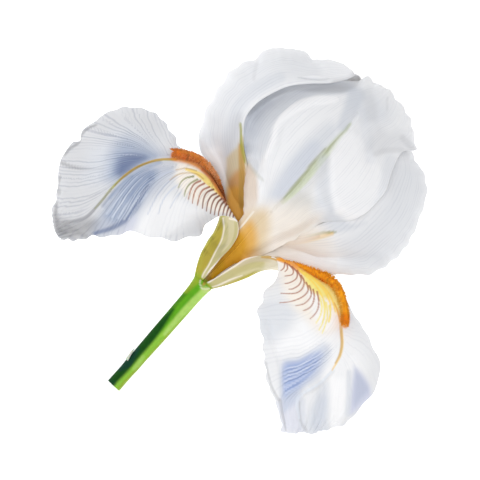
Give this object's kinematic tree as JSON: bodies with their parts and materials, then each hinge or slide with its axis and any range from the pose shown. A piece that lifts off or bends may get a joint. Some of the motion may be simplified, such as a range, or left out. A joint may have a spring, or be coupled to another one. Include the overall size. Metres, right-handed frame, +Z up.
{
  "type": "iris flower",
  "caption": "White bearded iris bloom cut on a short green stem, lying down, with blue-veined drooping petals, orange beards and a closed dome of upright petals.",
  "frame": {"origin": "on the surface the flower lies on, under the middle of its bounding box", "axes": "+Z up from the surface, +X from the cut end of the stem towards the crown, +Y towards the flower's left side"},
  "size_m": [0.1602, 0.1574, 0.0901],
  "materials": {
    "petal": "matte",
    "stem": "satin",
    "beard": "matte",
    "style": "matte",
    "anther": "matte",
    "sheath": "matte"
  },
  "bodies": {
    "root": {"stem": "stem", "sheath_scrap": "sheath", "fall_left": "petal", "beard_left": "beard", "stamen_left": "anther", "fall_right": "petal", "beard_right": "beard", "stamen_right": "anther", "fall_under": "petal", "beard_under": "beard", "stamen_under": "anther", "standard_front": "petal", "standard_left": "petal", "standard_right": "petal", "pistil": "style"}
  },
  "joints": []
}
